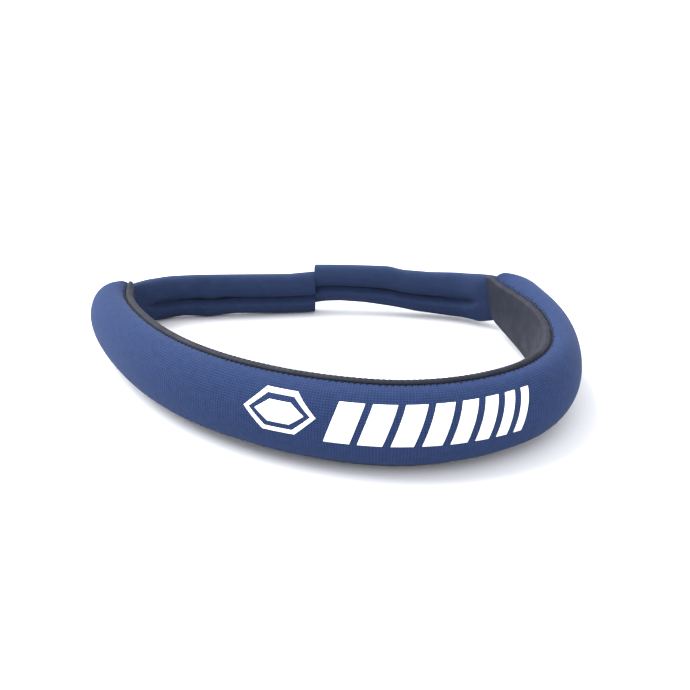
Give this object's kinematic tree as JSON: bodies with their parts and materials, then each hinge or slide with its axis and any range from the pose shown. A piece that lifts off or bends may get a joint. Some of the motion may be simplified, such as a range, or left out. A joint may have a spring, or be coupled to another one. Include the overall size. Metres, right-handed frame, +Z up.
{
  "type": "floating eyewear retainer strap",
  "caption": "Padded floating retainer strap for glasses: a foam-filled knitted cushion round the neck and a soft open sleeve at each end for a temple arm.",
  "frame": {"origin": "middle of the underside of the box round the whole strap, on the table it lies on", "axes": "+X to the right along the longest side, -Y towards the middle of the cushion, +Y towards the two sleeve mouths, +Z up"},
  "size_m": [0.1937, 0.1506, 0.033],
  "materials": {
    "blue_neoprene": "knitted jersey over neoprene, matte",
    "black_neoprene": "smooth-skin neoprene, satin",
    "foam": "closed-cell foam, matte",
    "dark_thread": "polyester overlock thread",
    "blue_thread": "polyester flat seam thread",
    "white_print": "screen-printed film, matte"
  },
  "bodies": {
    "cushion": {"float_core": "foam", "outer_cover": "blue_neoprene", "back_panel": "black_neoprene", "upper_seam_thread": "dark_thread", "lower_seam_thread": "dark_thread", "print_emblem": "white_print", "print_bars": "white_print", "left_sleeve_root": "blue_neoprene", "right_sleeve_root": "blue_neoprene"},
    "left_sleeve": {"left_sleeve": "blue_neoprene", "left_sleeve_seam_thread": "blue_thread"},
    "right_sleeve": {"right_sleeve": "blue_neoprene", "right_sleeve_seam_thread": "blue_thread"}
  },
  "joints": [
    {"name": "left_sleeve_flex", "type": "hinge", "parent": "cushion", "child": "left_sleeve", "pos_m": [-0.07643, 0.05734, 0.0109], "axis": [0, 0, 1], "range_deg": [0, 79], "stiffness_Nm_per_rad": 0.01},
    {"name": "right_sleeve_flex", "type": "hinge", "parent": "cushion", "child": "right_sleeve", "pos_m": [0.06359, 0.05656, 0.0117], "axis": [0, 0, -1], "range_deg": [0, 56], "stiffness_Nm_per_rad": 0.01}
  ]
}
